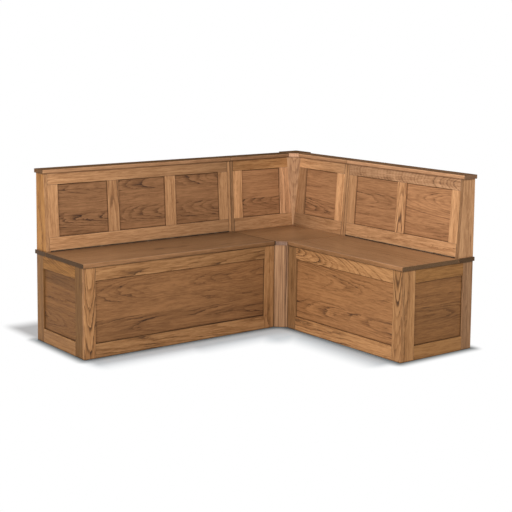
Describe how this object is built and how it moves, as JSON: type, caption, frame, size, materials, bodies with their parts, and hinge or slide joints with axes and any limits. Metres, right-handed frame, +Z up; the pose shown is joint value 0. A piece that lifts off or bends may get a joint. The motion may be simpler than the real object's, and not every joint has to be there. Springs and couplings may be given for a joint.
{
  "type": "corner storage bench",
  "caption": "L-shaped wooden corner bench with panelled storage chests, two hinged seat lids, a fixed corner seat and leaning panelled backrests under a cap rail",
  "frame": {"origin": "on the floor under the middle of the bench's bounding box", "axes": "+X along the long arm towards the corner, +Y towards the wall behind the long arm, +Z up; the short arm runs towards -Y at the +X end"},
  "size_m": [1.663, 1.383, 0.865],
  "materials": {
    "frame_oak": "stained open grained oak, satin oil",
    "panel_oak": "stained oak panel, darker, satin oil",
    "seat_oak": "stained oak seat board, satin oil",
    "cap_oak": "stained oak cap board, satin oil",
    "post_oak": "lighter stained oak, satin oil",
    "inner_ply": "plain pale plywood, sealed",
    "hinge_steel": "darkened steel"
  },
  "bodies": {
    "carcass": {"corner_back_filler": "post_oak", "corner_cap_block": "cap_oak", "corner_front_post": "post_oak", "corner_long_back_frame": "frame_oak", "corner_long_back_panel": "panel_oak", "corner_long_cap": "cap_oak", "corner_long_carcass_back": "inner_ply", "corner_long_side": "inner_ply", "corner_long_wedge": "frame_oak", "corner_seat": "seat_oak", "corner_short_back_frame": "frame_oak", "corner_short_back_panel": "panel_oak", "corner_short_cap": "cap_oak", "corner_short_carcass_back": "inner_ply", "corner_short_side": "inner_ply", "corner_short_wedge": "frame_oak", "long_back_bottom_rail": "frame_oak", "long_back_muntin_1": "frame_oak", "long_back_muntin_2": "frame_oak", "long_back_panel_1": "panel_oak", "long_back_panel_2": "panel_oak", "long_back_panel_3": "panel_oak", "long_back_stile_left": "frame_oak", "long_back_stile_right": "frame_oak", "long_back_top_rail": "frame_oak", "long_cap": "cap_oak", "long_carcass_back": "inner_ply", "long_deck_strip": "seat_oak", "long_end_frame": "frame_oak", "long_end_panel": "panel_oak", "long_floor": "inner_ply", "long_front_frame": "frame_oak", "long_front_panel": "panel_oak", "long_hinge_fixed_leaf": "hinge_steel", "long_inner_side": "inner_ply", "long_wedge_inner": "frame_oak", "long_wedge_outer": "frame_oak", "short_back_bottom_rail": "frame_oak", "short_back_muntin_1": "frame_oak", "short_back_panel_1": "panel_oak", "short_back_panel_2": "panel_oak", "short_back_stile_left": "frame_oak", "short_back_stile_right": "frame_oak", "short_back_top_rail": "frame_oak", "short_cap": "cap_oak", "short_carcass_back": "inner_ply", "short_deck_strip": "seat_oak", "short_end_frame": "frame_oak", "short_end_panel": "panel_oak", "short_floor": "inner_ply", "short_front_frame": "frame_oak", "short_front_panel": "panel_oak", "short_hinge_fixed_leaf": "hinge_steel", "short_inner_side": "inner_ply", "short_wedge_inner": "frame_oak", "short_wedge_outer": "frame_oak"},
    "long_lid": {"long_lid": "seat_oak", "long_hinge_moving_leaf": "hinge_steel"},
    "short_lid": {"short_lid": "seat_oak", "short_hinge_moving_leaf": "hinge_steel"}
  },
  "joints": [
    {"name": "long_lid_hinge", "type": "hinge", "parent": "carcass", "child": "long_lid", "pos_m": [-0.2635, 0.58, 0.4598], "axis": [-1, 0, 0], "range_deg": [0, 94]},
    {"name": "short_lid_hinge", "type": "hinge", "parent": "carcass", "child": "short_lid", "pos_m": [0.72, -0.2635, 0.4598], "axis": [0, 1, 0], "range_deg": [0, 94]}
  ]
}
